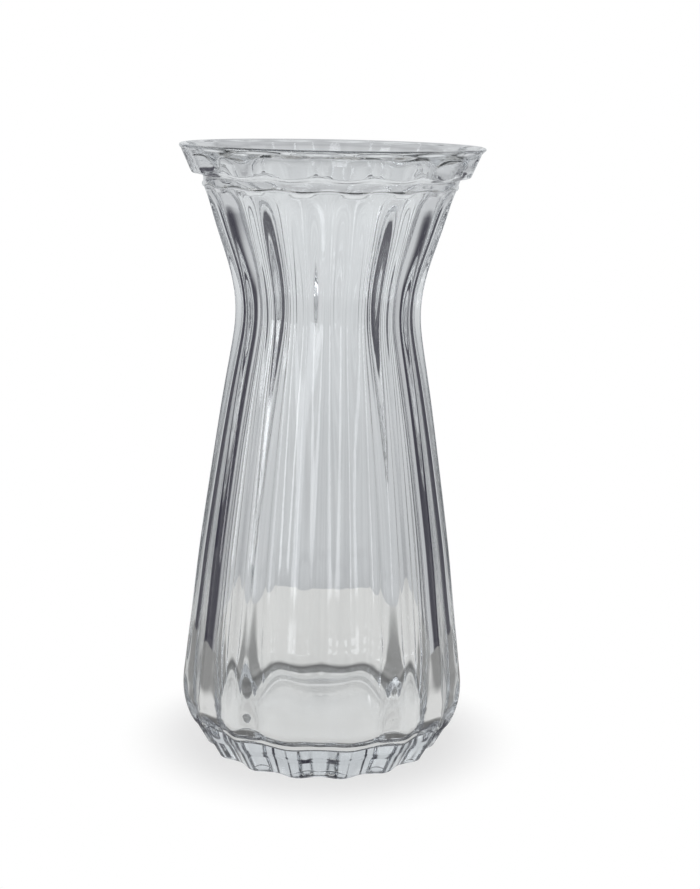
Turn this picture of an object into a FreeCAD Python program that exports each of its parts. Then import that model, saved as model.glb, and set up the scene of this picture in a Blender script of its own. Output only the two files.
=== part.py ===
import FreeCAD, Part

import math
import os

os.makedirs("parts", exist_ok=True)

# Clear moulded glass flower vase: round and waisted, fluted all round, with a collar and a round lip.
# Millimetres, +Z up, origin at the middle of the face it stands on, -Y towards the viewer.

# Driving dimensions of the outside. Radii are taken over the ridges between the flutes.
vase_height = 241.5
foot_radius = 47.3
foot_top_radius = 51.6
foot_height = 8.0
bulge_radius = 57.2
bulge_height = 26.0
waist_radius = 36.8
waist_height = 176.0
neck_radius = 49.2
seam_drop = 16.0
band_radius = 50.0
band_rise = 3.9
collar_radius = 54.6
collar_rise = 1.4
rim_radius = 59.9
lip_height = 2.0

flute_count = 16
flute_depth = 2.6
collar_scoop = 1.2
collar_wave = 0.8
collar_turn = -4.9

# Driving dimensions of the inside
thin_wall = 2.6
neck_wall = 3.8
inner_flute_depth = 1.2
inner_fade_stations = 2
floor_height = 13.0
floor_fillet = 9.0
fillet_set_in = 0.8
throat_radius = 51.3
throat_drop = 5.5
mouth_radius = 57.6
mouth_bow = 0.7

# Small features
foot_break = 0.6
seam_height = 0.9
seam_proud = 0.6
outer_lip_round = 0.8
recess_radius = 40.0
recess_depth = 1.0
overrun = 5.0

# Levels of the seam, the band above it and the lower edge of the collar, counted down from the rim
neck_height = vase_height - seam_drop
band_height = neck_height + band_rise
collar_height = band_height + collar_rise

pitch = 2 * math.pi / flute_count


def fluted_ring(radius, depth, level, turn=0.0, wave=0.0):
    """Closed outline with a hollow at the front, a round ridge half a pitch on, and so on round.
    The hollows are as deep as depth, and stand as much higher than the ridges as wave."""
    def place(quarter):
        angle = math.radians(turn) + quarter * pitch / 4
        hollow_share = (1 + math.cos(quarter * math.pi / 2)) / 2
        reach = radius - depth * hollow_share
        return FreeCAD.Vector(reach * math.sin(angle), -reach * math.cos(angle), level + wave * hollow_share)

    starts = range(-1, 4 * flute_count - 1, 2)
    return Part.Wire([Part.Arc(place(q), place(q + 1), place(q + 2)).toShape() for q in starts])


def fluted_solid(rings, ruled=False):
    """Solid through rings, each given as radius, flute depth, level and, if it has them, turn and wave."""
    return Part.makeLoft([fluted_ring(*ring) for ring in rings], True, ruled)


def turned_solid(*edges):
    """Solid of revolution round the vase's axis, from the edges of a closed half outline."""
    outline = Part.Face(Part.Wire(Part.__sortEdges__([edge.toShape() for edge in edges])))
    return outline.revolve(FreeCAD.Vector(0, 0, 0), FreeCAD.Vector(0, 0, 1), 360)


def corner(radius, level):
    return FreeCAD.Vector(radius, 0, level)


def lines(*corners):
    """Straight edges through corners given as radius and level."""
    points = [corner(*place) for place in corners]
    return [Part.LineSegment(a, b) for a, b in zip(points, points[1:])]


def quarter_round(start, end, middle):
    """Quarter circle from start to end about a middle, all given as radius and level."""
    start, end, middle = corner(*start), corner(*end), corner(*middle)
    bulge = ((start - middle) + (end - middle)).normalize() * (start - middle).Length
    return Part.Arc(start, middle + bulge, end)


def shoulder_stations():
    """Radius, level and flute share up the round shoulder, from the foot band to the bulge."""
    rise_and_swell_shares = (
        (0.000, 0.000),
        (0.076, 0.220),
        (0.293, 0.578),
        (0.617, 0.882),
        (1.000, 1.000),
    )
    for rise_share, swell_share in rise_and_swell_shares:
        radius = foot_top_radius + swell_share * (bulge_radius - foot_top_radius)
        yield radius, foot_height + rise_share * (bulge_height - foot_height), 1.0


def body_stations():
    """Radius, level and flute share up the long body, from above the bulge to below the waist."""
    rise_and_swell_shares = (
        (0.06, 0.962),
        (0.13, 0.900),
        (0.22, 0.820),
        (0.36, 0.700),
        (0.52, 0.536),
        (0.69, 0.350),
        (0.83, 0.186),
        (0.92, 0.070),
    )
    for rise_share, swell_share in rise_and_swell_shares:
        radius = waist_radius + swell_share * (bulge_radius - waist_radius)
        yield radius, bulge_height + rise_share * (waist_height - bulge_height), 1.0


def flare_stations():
    """Radius, level and flute share from the waist to the seam, where the flutes run out."""
    rise_flare_and_flute_shares = (
        (0.00, 0.000, 1.00),
        (0.24, 0.077, 1.00),
        (0.44, 0.278, 1.00),
        (0.65, 0.553, 1.00),
        (0.81, 0.749, 0.95),
        (0.93, 0.895, 0.60),
        (1.00, 1.000, 0.00),
    )
    for rise_share, flare_share, flute_share in rise_flare_and_flute_shares:
        radius = waist_radius + flare_share * (neck_radius - waist_radius)
        yield radius, waist_height + rise_share * (neck_height - waist_height), flute_share


def foot_band():
    """Short band that the vase stands on, with the ridges carried down through it."""
    return fluted_solid([
        (foot_radius - foot_break, flute_depth, 0),
        (foot_radius, flute_depth, foot_break),
        (foot_top_radius, flute_depth, foot_height),
    ], True)


def fluted_body():
    """Outside of the body, from the foot band up to the mould seam."""
    stations = [*shoulder_stations(), *body_stations(), *flare_stations()]
    return fluted_solid([(radius, share * flute_depth, level) for radius, level, share in stations])


def neck():
    """Proud mould seam and the plain band above it, up to the collar."""
    seam_top = neck_height + seam_height
    return turned_solid(*lines(
        (0, neck_height),
        (neck_radius, neck_height),
        (neck_radius + seam_proud, neck_height + seam_height / 2),
        (neck_radius, seam_top),
        (band_radius, band_height),
        (0, band_height),
        (0, neck_height),
    ))


def collar():
    """Collar that leans out, with shallow scoops round it: they lift its lower edge in waves
    and run out under the lip."""
    lip_level = vase_height - lip_height
    under_lip_radius = rim_radius - outer_lip_round / 2
    return fluted_solid([
        (band_radius, 0, band_height, collar_turn),
        (collar_radius, collar_scoop, collar_height, collar_turn, collar_wave),
        (under_lip_radius, collar_scoop, lip_level, collar_turn),
        (rim_radius, 0, vase_height - lip_height / 2, collar_turn),
    ], True)


def lip():
    """Top of the lip, rounded at its outer edge."""
    base, shoulder = vase_height - lip_height / 2, vase_height - outer_lip_round
    edge = rim_radius - outer_lip_round
    return turned_solid(
        *lines((edge, vase_height), (0, vase_height), (0, base), (rim_radius, base), (rim_radius, shoulder)),
        quarter_round((rim_radius, shoulder), (edge, vase_height), (edge, shoulder)),
    )


def inner_stations():
    """Radius, flute depth and level of the inside, from the bulge up to the seam.
    The inner flutes fade in above the bulge, and the wall is thinnest at the hollows."""
    stations = [(bulge_radius, bulge_height, 1.0), *body_stations(), *flare_stations()]
    for number, (radius, level, share) in enumerate(stations):
        inner_depth = min(share, number / inner_fade_stations) * inner_flute_depth
        fluted_wall = thin_wall + flute_depth - inner_depth
        yield radius - neck_wall - share * (fluted_wall - neck_wall), inner_depth, level


def cavity():
    """Space inside: flat floor with a fillet round it, softly fluted wall, and the mouth, which curves
    out to the brim."""
    stations = list(inner_stations())
    wall_radius, _, bulge_level = stations[0]
    fillet_radius = wall_radius - fillet_set_in
    fillet_level = floor_height + floor_fillet
    floor_radius = fillet_radius - floor_fillet
    base = turned_solid(
        quarter_round((floor_radius, floor_height), (fillet_radius, fillet_level), (floor_radius, fillet_level)),
        *lines(
            (fillet_radius, fillet_level),
            (wall_radius, bulge_level),
            (0, bulge_level),
            (0, floor_height),
            (floor_radius, floor_height),
        ),
    )
    neck_inside = neck_radius - neck_wall
    throat_level, above = vase_height - throat_drop, vase_height + overrun
    throat, brim = corner(throat_radius, throat_level), corner(mouth_radius, vase_height)
    chord = brim - throat
    bow = FreeCAD.Vector(-chord.z, 0, chord.x).normalize() * mouth_bow
    mouth = turned_solid(
        *lines((0, above), (0, neck_height), (neck_inside, neck_height), (throat_radius, throat_level)),
        Part.Arc(throat, (throat + brim) / 2 + bow, brim),
        *lines((mouth_radius, vase_height), (mouth_radius, above), (0, above)),
    )
    return fluted_solid(stations).fuse([base, mouth])


def foot_recess():
    """Shallow dome under the foot, which leaves a ring to stand on."""
    arc_share = 0.5
    rim = corner(recess_radius, 0)
    sphere_radius = (recess_radius ** 2 + recess_depth ** 2) / (2 * recess_depth)
    half_angle = arc_share * math.asin(recess_radius / sphere_radius)
    middle_level = recess_depth - sphere_radius
    halfway = corner(sphere_radius * math.sin(half_angle), middle_level + sphere_radius * math.cos(half_angle))
    return turned_solid(
        Part.Arc(rim, halfway, corner(0, recess_depth)),
        *lines((0, recess_depth), (0, -overrun), (recess_radius, -overrun), (recess_radius, 0)),
    )


def vase():
    outside = foot_band().fuse([fluted_body(), neck(), collar(), lip()])
    return outside.cut([cavity(), foot_recess()]).removeSplitter()


glass = vase()
glass.exportStep("parts/vase.step")
print("valid", glass.isValid(), "solids", len(glass.Solids), "volume cm3", glass.Volume / 1000)
print("box", glass.BoundBox)
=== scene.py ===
import math

import bpy
import numpy as np
from mathutils import Matrix, Vector


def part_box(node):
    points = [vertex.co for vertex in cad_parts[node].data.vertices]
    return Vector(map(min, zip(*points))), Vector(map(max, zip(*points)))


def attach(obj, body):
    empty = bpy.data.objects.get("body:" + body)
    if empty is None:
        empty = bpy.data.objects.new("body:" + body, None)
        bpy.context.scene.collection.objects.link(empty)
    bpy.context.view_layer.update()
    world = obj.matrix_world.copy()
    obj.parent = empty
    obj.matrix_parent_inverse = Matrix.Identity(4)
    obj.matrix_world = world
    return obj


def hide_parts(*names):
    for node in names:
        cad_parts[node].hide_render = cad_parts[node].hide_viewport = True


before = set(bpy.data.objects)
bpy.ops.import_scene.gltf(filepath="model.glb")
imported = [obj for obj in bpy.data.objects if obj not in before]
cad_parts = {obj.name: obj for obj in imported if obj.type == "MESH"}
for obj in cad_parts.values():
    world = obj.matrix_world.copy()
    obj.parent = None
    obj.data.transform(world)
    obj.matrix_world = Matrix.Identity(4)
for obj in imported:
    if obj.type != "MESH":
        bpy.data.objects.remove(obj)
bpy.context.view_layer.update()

# The vase: one piece of clear glass, pressed in a mould. Sixteen soft flutes run up it to the seam,
# where the body of the mould meets its neck ring. The neck ring gave the plain band, the scooped
# collar and the flame-polished lip. Sizes are in millimetres; half_outline() makes metres of them.
MM = 0.001
vase_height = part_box("vase")[1].z / MM
flute_count = 16
flute_depth = 2.6

recess_radius = 40.0
recess_depth = 1.0
flat_ring_width = 1.5
foot_radius = 47.3
foot_top_radius = 51.6
foot_height = 8.0
foot_break = 0.6
bulge_radius = 57.2
bulge_height = 26.0
shoulder_fullness = 1.58
waist_radius = 36.8
waist_height = 176.0
neck_radius = 49.2
neck_height = vase_height - 16.0
flute_end = 208.0
flute_run_out = 3.6
flute_left_at_seam = 0.1

seam_height = 0.9
seam_proud = 0.5
seam_wave = 0.8
band_radius = 50.0
band_height = neck_height + 3.9
collar_radius = 54.75
collar_height = band_height + 1.8
collar_scoop = 1.2
collar_wave = 0.8
collar_turn = math.radians(-4.9)
neck_ring_offset = 0.7
neck_ring_run_in = 5.0
lip_radius = 59.15
lip_overhang = 0.8
lip_base_height = vase_height - 2.2

thin_wall = 2.6
neck_wall = 3.8
inner_flute_depth = 1.2
inner_fade_stations = 2
inner_fainter_from = 120.0
inner_fainter_to = 180.0
inner_fainter_by = 0.75
floor_height = 13.0
floor_fillet = 9.0
fillet_set_in = 0.8


class Wire:
    """An output socket of a node. Arithmetic on it adds Math nodes, and add() adds any other."""

    def __init__(self, tree, socket=None):
        self.tree, self.socket = tree, socket

    def add(self, kind, settings=None, inputs=None, output=0):
        """Adds a node, makes its settings, then gives its sockets their values or links."""
        node = self.tree.nodes.new(kind)
        for name, value in (settings or {}).items():
            setattr(node, name, value)
        for name, value in (inputs or {}).items():
            if isinstance(value, Wire):
                self.tree.links.new(value.socket, node.inputs[name])
            else:
                node.inputs[name].default_value = value
        return Wire(self.tree, node.outputs[output] if len(node.outputs) else None)

    def out(self, name):
        """Another output of the same node."""
        return Wire(self.tree, self.socket.node.outputs[name])

    def math(self, operation, *others):
        """A Math node on this wire and, after it, the others."""
        numbers = dict(enumerate((self, *others)))
        return self.add("ShaderNodeMath", {"operation": operation}, numbers)

    def ramp(self, start, end, at_start=0.0, at_end=1.0):
        """Smooth step from one value at start to another at end."""
        return self.add("ShaderNodeMapRange", {"interpolation_type": "SMOOTHSTEP"}, {
            "Value": self, "From Min": start, "From Max": end, "To Min": at_start, "To Max": at_end,
        })

    def between(self, start, full, fading, end):
        """1 from full to fading, with a smooth step up to it and one down after it."""
        return self.ramp(start, full) * self.ramp(fading, end, 1.0, 0.0)

    def __add__(self, other):
        return self.math("ADD", other)

    def __sub__(self, other):
        return self.math("SUBTRACT", other)

    def __rsub__(self, other):
        return self.add("ShaderNodeMath", {"operation": "SUBTRACT"}, {0: other, 1: self})

    def __mul__(self, other):
        return self.math("MULTIPLY", other)

    def __truediv__(self, other):
        return self.math("DIVIDE", other)

    def __mod__(self, other):
        return self.math("MODULO", other)

    __radd__ = __add__
    __rmul__ = __mul__


def share_between(start, end, value):
    """0 up to start, 1 from end on, and evenly in between."""
    return min(1.0, max(0.0, (value - start) / (end - start)))


def smooth_curve(stations, count):
    """Evenly spaced points on the natural cubic curve through stations. A station is a row of
    numbers that starts with radius and level, and the others go along smoothly."""
    rows = np.array(stations, float)
    gaps = np.hypot(*np.diff(rows[:, :2], axis=0).T)
    knots = np.concatenate([[0.0], np.cumsum(gaps)])
    slopes = np.diff(rows, axis=0) / gaps[:, None]
    system, target = np.eye(len(rows)), np.zeros_like(rows)
    for i in range(1, len(rows) - 1):
        system[i, i - 1:i + 2] = gaps[i - 1], 2 * (gaps[i - 1] + gaps[i]), gaps[i]
        target[i] = 6 * (slopes[i] - slopes[i - 1])
    bends = np.linalg.solve(system, target)
    for place in np.linspace(0, knots[-1], count):
        i = min(int(np.searchsorted(knots, place, side="right")) - 1, len(gaps) - 1)
        ahead, left = place - knots[i], knots[i + 1] - place
        cubic = (bends[i] * left ** 3 + bends[i + 1] * ahead ** 3) / (6 * gaps[i])
        yield (cubic + (rows[i] / gaps[i] - bends[i] * gaps[i] / 6) * left
               + (rows[i + 1] / gaps[i] - bends[i + 1] * gaps[i] / 6) * ahead)


def outline_point(radius, level, flute=0.0, scoop=0.0, lift=0.0, wave=0.0):
    """A point of the half outline: how deep the flutes and the collar's scoops are there, and how
    far the scoops and the flutes raise it."""
    return radius, level, flute, scoop, lift, wave


def underside():
    """From the middle of the shallow dome under the foot out to the ring that it stands on."""
    sphere_radius = (recess_radius ** 2 + recess_depth ** 2) / (2 * recess_depth)
    for share in (0, 0.08, 0.3, 0.55, 0.78, 0.93, 0.992):
        radius = share * recess_radius
        rise = math.sqrt(sphere_radius ** 2 - radius ** 2) - (sphere_radius - recess_depth)
        yield outline_point(radius, rise)
    yield outline_point(recess_radius, 0)
    yield outline_point(recess_radius + flat_ring_width, 0)
    yield outline_point(foot_radius - 2 * foot_break, 0, flute_depth)


def foot_band():
    """The fluted band of the foot, with its lower edge just broken."""
    for turn in (0, 30, 60, 90):
        angle = math.radians(turn)
        radius = foot_radius - foot_break * (1 - math.sin(angle))
        yield outline_point(radius, foot_break * (1 - math.cos(angle)), flute_depth)
    for share in (0.02, 0.35, 0.7, 0.97):
        radius = foot_radius + share * (foot_top_radius - foot_radius)
        yield outline_point(radius, foot_break + share * (foot_height - foot_break), flute_depth)


def shoulder_stations():
    """Radius and level round the shoulder above the foot band."""
    steps = 8
    for step in range(steps):
        angle = math.pi / 2 * step / steps
        swell = math.sin(angle) ** shoulder_fullness
        radius = foot_top_radius + swell * (bulge_radius - foot_top_radius)
        yield radius, bulge_height - (bulge_height - foot_height) * math.cos(angle)
    yield bulge_radius, bulge_height


def long_body_stations():
    """Radius and level from above the bulge, in to the waist and out again to the seam."""
    body_shares = (
        (0.06, 0.962), (0.13, 0.900), (0.22, 0.820), (0.36, 0.700),
        (0.52, 0.536), (0.69, 0.350), (0.83, 0.186), (0.92, 0.070),
    )
    for rise, swell in body_shares:
        radius = waist_radius + swell * (bulge_radius - waist_radius)
        yield radius, bulge_height + rise * (waist_height - bulge_height)
    flare_shares = (
        (0.00, 0.000), (0.24, 0.077), (0.44, 0.278), (0.65, 0.553),
        (0.81, 0.749), (0.93, 0.895), (1.00, 1.000),
    )
    for rise, flare in flare_shares:
        radius = waist_radius + flare * (neck_radius - waist_radius)
        yield radius, waist_height + rise * (neck_height - waist_height)


def flute_share(level):
    """1 on the body, and less from flute_end up to the seam, where the flutes run out."""
    run = share_between(flute_end, neck_height, level)
    return 1 - (1 - flute_left_at_seam) * run ** flute_run_out


def body():
    """Up the fluted outside, from the foot band to the seam."""
    rings = 106
    for radius, level in smooth_curve([*shoulder_stations(), *long_body_stations()], rings):
        yield outline_point(radius, level, flute_share(level) * flute_depth)


def seam_and_band():
    """The fine proud seam, which wanders a little up over each flute, and the plain band above."""
    seam_shares = ((0.05, 0.05), (0.8, 0.22), (1.0, 0.5), (0.8, 0.78), (0.2, 0.95))
    for proud, rise in seam_shares:
        level = neck_height + rise * seam_height - seam_wave / 3
        yield outline_point(neck_radius + proud * seam_proud, level, wave=seam_wave)
    band_shares = ((0.15, 0.32), (0.35, 0.55), (0.62, 0.84), (0.78, 0.96))
    for step_out, rise in band_shares:
        radius = neck_radius + step_out * (band_radius - neck_radius)
        yield outline_point(radius, neck_height + rise * (band_height - neck_height))


def collar():
    """The scooped collar: its lower edge rises over each scoop, and the scoops run out under the
    lip."""
    under_shares = (
        (0.00, 0.00, 0.0, 0.3), (0.17, 0.08, 0.1, 0.6), (0.63, 0.28, 0.6, 1.0),
        (0.82, 0.44, 1.0, 1.0), (0.94, 0.67, 1.0, 0.9), (1.00, 1.00, 1.0, 0.6),
    )
    for step_out, rise, scoop, lift in under_shares:
        radius = band_radius + step_out * (collar_radius - band_radius)
        level = band_height + rise * (collar_height - band_height)
        yield outline_point(radius, level, scoop=scoop * collar_scoop, lift=lift * collar_wave)
    face_shares = ((0.16, 0.15), (0.37, 0.0), (0.59, 0.0), (0.81, 0.0), (0.93, 0.0))
    for share, lift in face_shares:
        radius = collar_radius + share * (lip_radius - lip_overhang - collar_radius)
        level = collar_height + share * (lip_base_height - collar_height)
        yield outline_point(radius, level, scoop=collar_scoop, lift=lift * collar_wave)


def lip():
    """The lip, rounded from the collar's face over to the mouth."""
    lip_shares = (
        (0.00, 0.00, 0.93), (0.36, 0.18, 0.60), (0.66, 0.34, 0.25), (0.90, 0.50, 0.05),
        (1.00, 0.64, 0.00), (0.90, 0.77, 0.00), (0.66, 0.88, 0.00), (0.24, 0.96, 0.00),
        (-0.30, 1.00, 0.00), (-1.20, 0.985, 0.00),
    )
    for step_out, rise, scoop in lip_shares:
        radius = lip_radius - lip_overhang + step_out * lip_overhang
        level = lip_base_height + rise * (vase_height - lip_base_height)
        yield outline_point(radius, level, scoop=scoop * collar_scoop)


def inside():
    """Down the inside, from the mouth to the floor. Its soft flutes fade in above the bulge and get
    fainter towards the waist, and the wall is thinnest at the hollows. A fillet runs round the flat
    floor."""
    hollow_wall = thin_wall + flute_depth
    stations = []
    for number, (radius, level) in enumerate([(bulge_radius, bulge_height), *long_body_stations()]):
        share = flute_share(level)
        fainter = inner_fainter_by * share_between(inner_fainter_from, inner_fainter_to, level)
        flute = min(share, number / inner_fade_stations) * inner_flute_depth * (1 - fainter)
        wall = neck_wall + share * (hollow_wall - flute - neck_wall)
        stations.append((radius - wall, level, flute))
    mouth = ((48.4, 10.5), (51.3, 5.5), (53.0, 3.0), (54.8, 1.5), (56.4, 0.6), (57.3, 0.2))
    stations += [(radius, vase_height - drop, 0.0) for radius, drop in mouth]
    floor_radius = bulge_radius - hollow_wall - fillet_set_in - floor_fillet
    fillet_top = floor_radius + floor_fillet, floor_height + floor_fillet, 0.0
    rings = 84
    for radius, level, flute in reversed([*smooth_curve([fillet_top, *stations], rings)]):
        yield outline_point(radius, level, min(inner_flute_depth, max(0.0, flute)))
    steps = 10
    for step in reversed(range(steps)):
        angle = math.pi / 2 * step / steps
        yield outline_point(floor_radius + floor_fillet * math.sin(angle),
                            floor_height + floor_fillet * (1 - math.cos(angle)))
    for share in (0.99, 0.75, 0.4, 0.1, 0):
        yield outline_point(share * floor_radius, floor_height)


def half_outline():
    """The half outline as a mesh in the XZ plane, with what the flutes and scoops do at each point
    and how far it is set aside with the neck ring."""
    points = [
        *underside(), *foot_band(), *body(), *seam_and_band(), *collar(), *lip(), *inside(),
    ]
    radii, levels, flutes, scoops, lifts, waves = zip(*points)
    neck_ring_end = neck_height + neck_ring_run_in
    offsets = [
        neck_ring_offset * share_between(neck_height, neck_ring_end, level) for level in levels
    ]
    mesh = bpy.data.meshes.new("vase_outline")
    places = [(radius * MM, 0, level * MM) for radius, level in zip(radii, levels)]
    mesh.from_pydata(places, [], [])
    columns = {"flute": flutes, "scoop": scoops, "lift": lifts, "wave": waves, "offset": offsets}
    for name, values in columns.items():
        attribute = mesh.attributes.new(name, "FLOAT", "POINT")
        attribute.data.foreach_set("value", [value * MM for value in values])
    return mesh


def flutes_tree():
    """Node tree that turns the half outline round the axis and presses the flutes into it."""
    tree = bpy.data.node_groups.new("vase_flutes", "GeometryNodeTree")
    sockets = {
        "Outline": "NodeSocketGeometry",
        "Flutes": "NodeSocketInt",
        "Steps per flute": "NodeSocketInt",
        "Scoop turn": "NodeSocketFloat",
        "Glass": "NodeSocketMaterial",
    }
    for name, kind in sockets.items():
        tree.interface.new_socket(name, in_out="INPUT", socket_type=kind)
    tree.interface.new_socket("Vase", in_out="OUTPUT", socket_type="NodeSocketGeometry")
    given = Wire(tree).add("NodeGroupInput")
    outline, flutes, steps, turn, glass = (given.out(name) for name in sockets)

    around = flutes * steps
    point_count = outline.add("GeometryNodeAttributeDomainSize", {"component": "MESH"}, {
        "Geometry": outline,
    })
    skin = outline.add("GeometryNodeMeshGrid", None, {
        "Vertices X": point_count, "Vertices Y": around + 1,
    })
    index = outline.add("GeometryNodeInputIndex")
    column = index % (around + 1)
    row = (index - column) / (around + 1)

    def of_outline(value, kind):
        return outline.add("GeometryNodeSampleIndex", {"data_type": kind}, {
            "Geometry": outline, "Value": value, "Index": row,
        })

    def named(name):
        value = outline.add("GeometryNodeInputNamedAttribute", {"data_type": "FLOAT"}, {
            "Name": name,
        })
        return of_outline(value, "FLOAT")

    def hollow_share(phase):
        """1 at the middle of a hollow and 0 on the ridge beside it."""
        return phase.math("COSINE") * 0.5 + 0.5

    place = of_outline(outline.add("GeometryNodeInputPosition"), "FLOAT_VECTOR")
    place = place.add("ShaderNodeSeparateXYZ", None, {"Vector": place})
    angle = column / around * (2 * math.pi)
    fluted, scooped = hollow_share(angle * flutes), hollow_share((angle - turn) * flutes)
    reach = place.out("X") - named("flute") * fluted - named("scoop") * scooped
    pressed = outline.add("ShaderNodeCombineXYZ", None, {
        "X": reach * angle.math("SINE") + named("offset"),
        "Y": 0 - reach * angle.math("COSINE"),
        "Z": place.out("Z") + named("wave") * fluted + named("lift") * scooped,
    })
    skin = skin.add("GeometryNodeSetPosition", None, {"Geometry": skin, "Position": pressed})
    skin = skin.add("GeometryNodeMergeByDistance", None, {"Geometry": skin, "Distance": 0.001 * MM})
    skin = skin.add("GeometryNodeFlipFaces", None, {"Mesh": skin})
    skin = skin.add("GeometryNodeSetShadeSmooth", None, {"Geometry": skin})
    skin = skin.add("GeometryNodeRealizeInstances", None, {"Geometry": skin})
    skin = skin.add("GeometryNodeSetMaterial", None, {"Geometry": skin, "Material": glass})
    skin.add("NodeGroupOutput", None, {"Vase": skin})
    return tree


def clear_glass():
    """Clear glass with a cold grey body, a faint uneven tint, the faint draw lines that the mould
    left up the walls, and a trace of dust."""
    material = bpy.data.materials.new("clear_glass")
    material.use_nodes = True
    material.node_tree.nodes.clear()
    start = Wire(material.node_tree)

    place = start.add("ShaderNodeTexCoord").out("Object")
    axes = start.add("ShaderNodeSeparateXYZ", None, {"Vector": place})
    outward = start.add("ShaderNodeCombineXYZ", None, {
        "X": axes.out("X"), "Y": axes.out("Y"), "Z": 0.0,
    })
    outward = start.add("ShaderNodeVectorMath", {"operation": "NORMALIZE"}, {0: outward})
    round_axes = start.add("ShaderNodeSeparateXYZ", None, {"Vector": outward})
    along = start.add("ShaderNodeCombineXYZ", None, {
        "X": round_axes.out("X"), "Y": round_axes.out("Y"), "Z": axes.out("Z") * 0.4,
    })
    draw_lines = start.add("ShaderNodeTexNoise", None, {
        "Vector": along, "Scale": 34.0, "Detail": 2.0,
    })
    chill = start.add("ShaderNodeTexNoise", None, {"Vector": place, "Scale": 70.0, "Detail": 1.0})
    dust = start.add("ShaderNodeTexNoise", None, {"Vector": place, "Scale": 260.0, "Detail": 4.0})

    normal = start.add("ShaderNodeBump", None, {
        "Strength": 1.0, "Distance": 0.006 * MM, "Height": draw_lines,
    })
    tint = start.add("ShaderNodeMix", {"data_type": "RGBA"}, {
        "Factor": chill, "A": (1.0, 1.0, 1.0, 1.0), "B": (0.975, 0.985, 0.985, 1.0),
    }, "Result")
    glass = start.add("ShaderNodeBsdfPrincipled", None, {
        "Base Color": tint,
        "Roughness": dust.ramp(0.62, 0.8, 0.0, 0.05),
        "IOR": 1.52,
        "Transmission Weight": 1.0,
        "Normal": normal,
    })
    body_grey = start.add("ShaderNodeVolumeAbsorption", None, {
        "Color": (0.78, 0.80, 0.82, 1.0), "Density": 11.0,
    })
    start.add("ShaderNodeOutputMaterial", None, {"Surface": glass, "Volume": body_grey})
    return material


def fluted_vase():
    """The vase's finished mesh: the tree run over the half outline, then kept as a plain mesh."""
    vase = bpy.data.objects.new("fluted_vase", half_outline())
    bpy.context.scene.collection.objects.link(vase)
    modifier = vase.modifiers.new("flutes", "NODES")
    modifier.node_group = flutes_tree()
    given = {
        "Flutes": flute_count,
        "Steps per flute": 24,
        "Scoop turn": collar_turn,
        "Glass": clear_glass(),
    }
    for item in modifier.node_group.interface.items_tree:
        if item.name in given:
            modifier[item.identifier] = given[item.name]
    evaluated = vase.evaluated_get(bpy.context.evaluated_depsgraph_get())
    mesh = bpy.data.meshes.new_from_object(evaluated)
    vase.modifiers.remove(modifier)
    vase.data = mesh
    return vase


vase = fluted_vase()
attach(vase, "root")
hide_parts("vase")


# The table: a plain pale round top. Seen bare it is white, apart from the vase's soft shadow close
# to the foot. Seen through the glass or mirrored in it, it glows pale grey with painted shade on
# it:
# it is painted darker towards the viewer, it has a painted contact shadow close round the foot, and
# it has painted shade in front of the studio's two dark screens.
def table_top():
    radius, corners = 0.2, 96
    clear_of_foot = 0.05 * MM
    turns = [2 * math.pi * corner / corners for corner in range(corners)]
    rim = [(radius * math.cos(a), radius * math.sin(a), -clear_of_foot) for a in turns]
    mesh = bpy.data.meshes.new("table_top")
    mesh.from_pydata(rim, [], [tuple(range(corners))])

    material = bpy.data.materials.new("table_top")
    material.use_nodes = True
    material.node_tree.nodes.clear()
    start = Wire(material.node_tree)
    place = start.add("ShaderNodeNewGeometry").out("Position")
    axes = start.add("ShaderNodeSeparateXYZ", None, {"Vector": place})
    x, y = axes.out("X"), axes.out("Y")
    away = (x * x + y * y).math("SQRT")
    turn = x.math("ARCTAN2", y) * (180 / math.pi)
    # Painted contact shadow: the glowing top seen in the glass is darkened in a ring close round
    # the foot.
    painted_contact_shadow = away.between(0.046, 0.0475, 0.058, 0.07)
    # Painted shade: two sectors of the top, in front of the studio's dark screens, are darkened.
    painted_screen_shade = turn.between(-95, -87, -36, -28) + turn.between(28, 35, 83, 92)
    painted_screen_shade = painted_screen_shade * away.ramp(0.05, 0.075)
    # Painted shade: the top darkens towards the viewer, and this, the painted contact shadow and
    # the painted screen shade scale the colour it shows in the glass.
    painted_shading = y.ramp(-0.11, -0.055, 0.4, 1.0) * (1 - painted_contact_shadow * 0.8) * (1 - painted_screen_shade * 0.66)
    painted_shade_colour = start.add("ShaderNodeMix", {"data_type": "RGBA"}, {
        "Factor": painted_shading, "A": (0.0, 0.0, 0.0, 1.0), "B": (0.69, 0.69, 0.68, 1.0),
    }, "Result")

    paint = start.add("ShaderNodeBsdfDiffuse", None, {"Color": (0.86, 0.85, 0.83, 1.0)})
    in_glass = start.add("ShaderNodeEmission", None, {"Color": painted_shade_colour, "Strength": 1.0})
    white = start.add("ShaderNodeEmission", None, {"Color": (1.0, 1.0, 1.0, 1.0), "Strength": 1.0})
    bare = start.add("ShaderNodeMixShader", None, {
        "Fac": away.ramp(0.045, 0.085, 0.3, 0.0), 1: white, 2: paint,
    })
    rays = start.add("ShaderNodeLightPath")
    from_glass = rays.out("Is Glossy Ray").math("MAXIMUM", rays.out("Is Transmission Ray"))
    surface = start.add("ShaderNodeMixShader", None, {"Fac": from_glass, 1: paint, 2: in_glass})
    surface = start.add("ShaderNodeMixShader", None, {
        "Fac": rays.out("Is Camera Ray"), 1: surface, 2: bare,
    })
    start.add("ShaderNodeOutputMaterial", None, {"Surface": surface})
    mesh.materials.append(material)
    table = bpy.data.objects.new("table_top", mesh)
    bpy.context.scene.collection.objects.link(table)
    return table


table_top()


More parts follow.
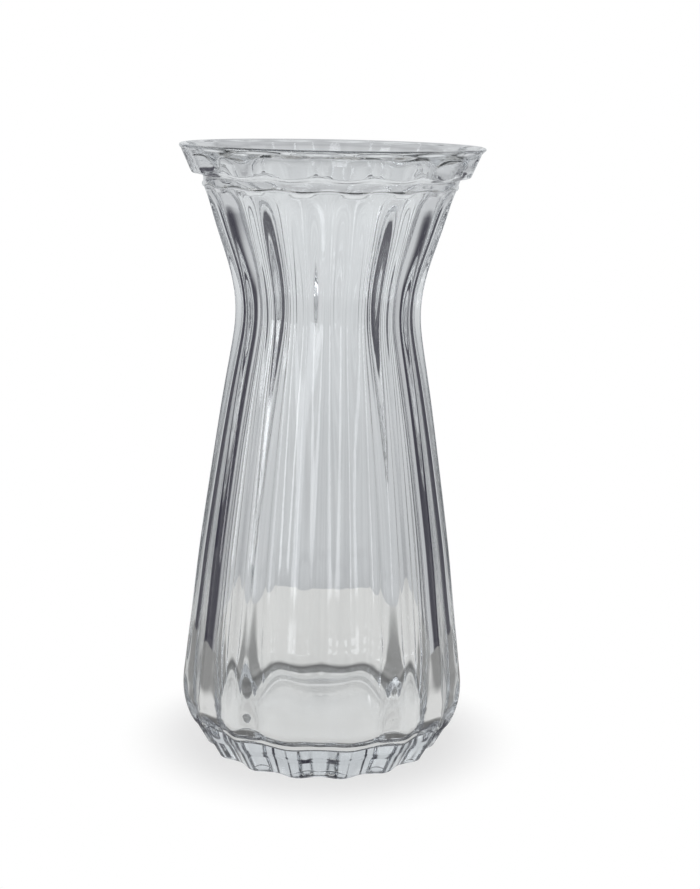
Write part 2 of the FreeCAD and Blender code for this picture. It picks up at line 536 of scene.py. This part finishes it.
# The studio: a lit and softly folded wall behind the vase, lit walls at its sides and two dark
# screens between them, which draw the dark lines down the ridges of the glass, under a dark
# ceiling. Three windows shine from the front and the left. Seen bare, the room is plain white.
def studio():
    world = bpy.data.worlds.new("studio")
    bpy.context.scene.world = world
    world.use_nodes = True
    world.node_tree.nodes.clear()
    start = Wire(world.node_tree)
    way = start.add("ShaderNodeTexCoord").out("Generated")
    way = start.add("ShaderNodeSeparateXYZ", None, {"Vector": way})
    turn = way.out("X").math("ARCTAN2", way.out("Y")) * (180 / math.pi)
    upward = way.out("Z")

    back_wall = turn.between(-34, -26, 25, 31)
    back_wall = back_wall * upward.ramp(-0.27, 0.0, 0.74, 1.0) * upward.ramp(-0.32, -0.26, 0.8, 1.0)
    left_wall = turn.ramp(-80, -68, 0.8, 0.0) * turn.ramp(-160, -140, 0.5, 1.0)
    right_wall = turn.ramp(57, 66, 0.0, 0.65) * turn.ramp(140, 160, 1.0, 0.5)
    folds = (turn * 0.7).math("SINE") * 0.045 + 0.975
    walls = (back_wall + left_wall + right_wall) * folds
    under_ceiling = upward.ramp(0.5, 0.7, walls, 0.1)
    room = upward.ramp(-0.44, -0.28, 0.75, under_ceiling)
    paint = start.add("ShaderNodeMix", {"data_type": "RGBA"}, {
        "Factor": room, "A": (0.036, 0.034, 0.05, 1.0), "B": (0.78, 0.80, 0.815, 1.0),
    }, "Result")

    windows = ((-158, -146), (140, 148), (-112, -102))
    panes = sum(turn.between(left, left + 2, right - 2, right) for left, right in windows)
    panes = panes * upward.between(-0.1, -0.08, 0.5, 0.52)
    in_glass = start.add("ShaderNodeBackground", None, {"Color": paint, "Strength": panes * 7 + 1})
    white = start.add("ShaderNodeBackground", None, {
        "Color": (1.0, 1.0, 1.0, 1.0), "Strength": 1.0,
    })
    rays = start.add("ShaderNodeLightPath")
    shown = start.add("ShaderNodeMixShader", None, {
        "Fac": rays.out("Is Camera Ray"), 1: in_glass, 2: white,
    })
    start.add("ShaderNodeOutputWorld", None, {"Surface": shown})


studio()


# The camera: about two thirds of a metre off, a little above the rim and tipped down and sideways
# as the photograph's is. Its lens is given by the focal length in pixels of a picture that is 889
# pixels high, and its angles are in degrees.
def camera():
    picture_height, focal_pixels = 889, 1685.2
    distance, rise_to_rim = 659.4, math.radians(2.152)
    down, lean = math.radians(12.231), math.radians(1.155)
    aside, round_vase = math.radians(0.832), math.radians(0.65)
    turn = Matrix.Rotation(round_vase - aside, 3, "Z")
    forward = turn @ Vector((0, math.cos(down), -math.sin(down)))
    upright = turn @ Vector((0, math.sin(down), math.cos(down)))
    right = turn @ Vector((1, 0, 0))
    up_in_picture = upright * math.cos(lean) - right * math.sin(lean)
    right_in_picture = right * math.cos(lean) + upright * math.sin(lean)
    lens = bpy.data.cameras.new("camera")
    lens.sensor_fit = "VERTICAL"
    lens.sensor_height = 24
    lens.lens = focal_pixels / picture_height * lens.sensor_height
    lens.clip_start = 0.01
    stand = bpy.data.objects.new("camera", lens)
    bpy.context.scene.collection.objects.link(stand)
    place = Matrix((right_in_picture, up_in_picture, -forward)).transposed().to_4x4()
    across, back = distance * math.sin(round_vase), distance * math.cos(round_vase)
    level = vase_height + distance * math.tan(rise_to_rim)
    place.translation = Vector((across, -back, level)) * MM
    stand.matrix_world = place
    bpy.context.scene.camera = stand


camera()

scene = bpy.context.scene
scene.view_settings.view_transform = "Standard"
bounces_in_glass = 32
scene.cycles.max_bounces = bounces_in_glass
scene.cycles.transmission_bounces = bounces_in_glass
scene.cycles.glossy_bounces = bounces_in_glass
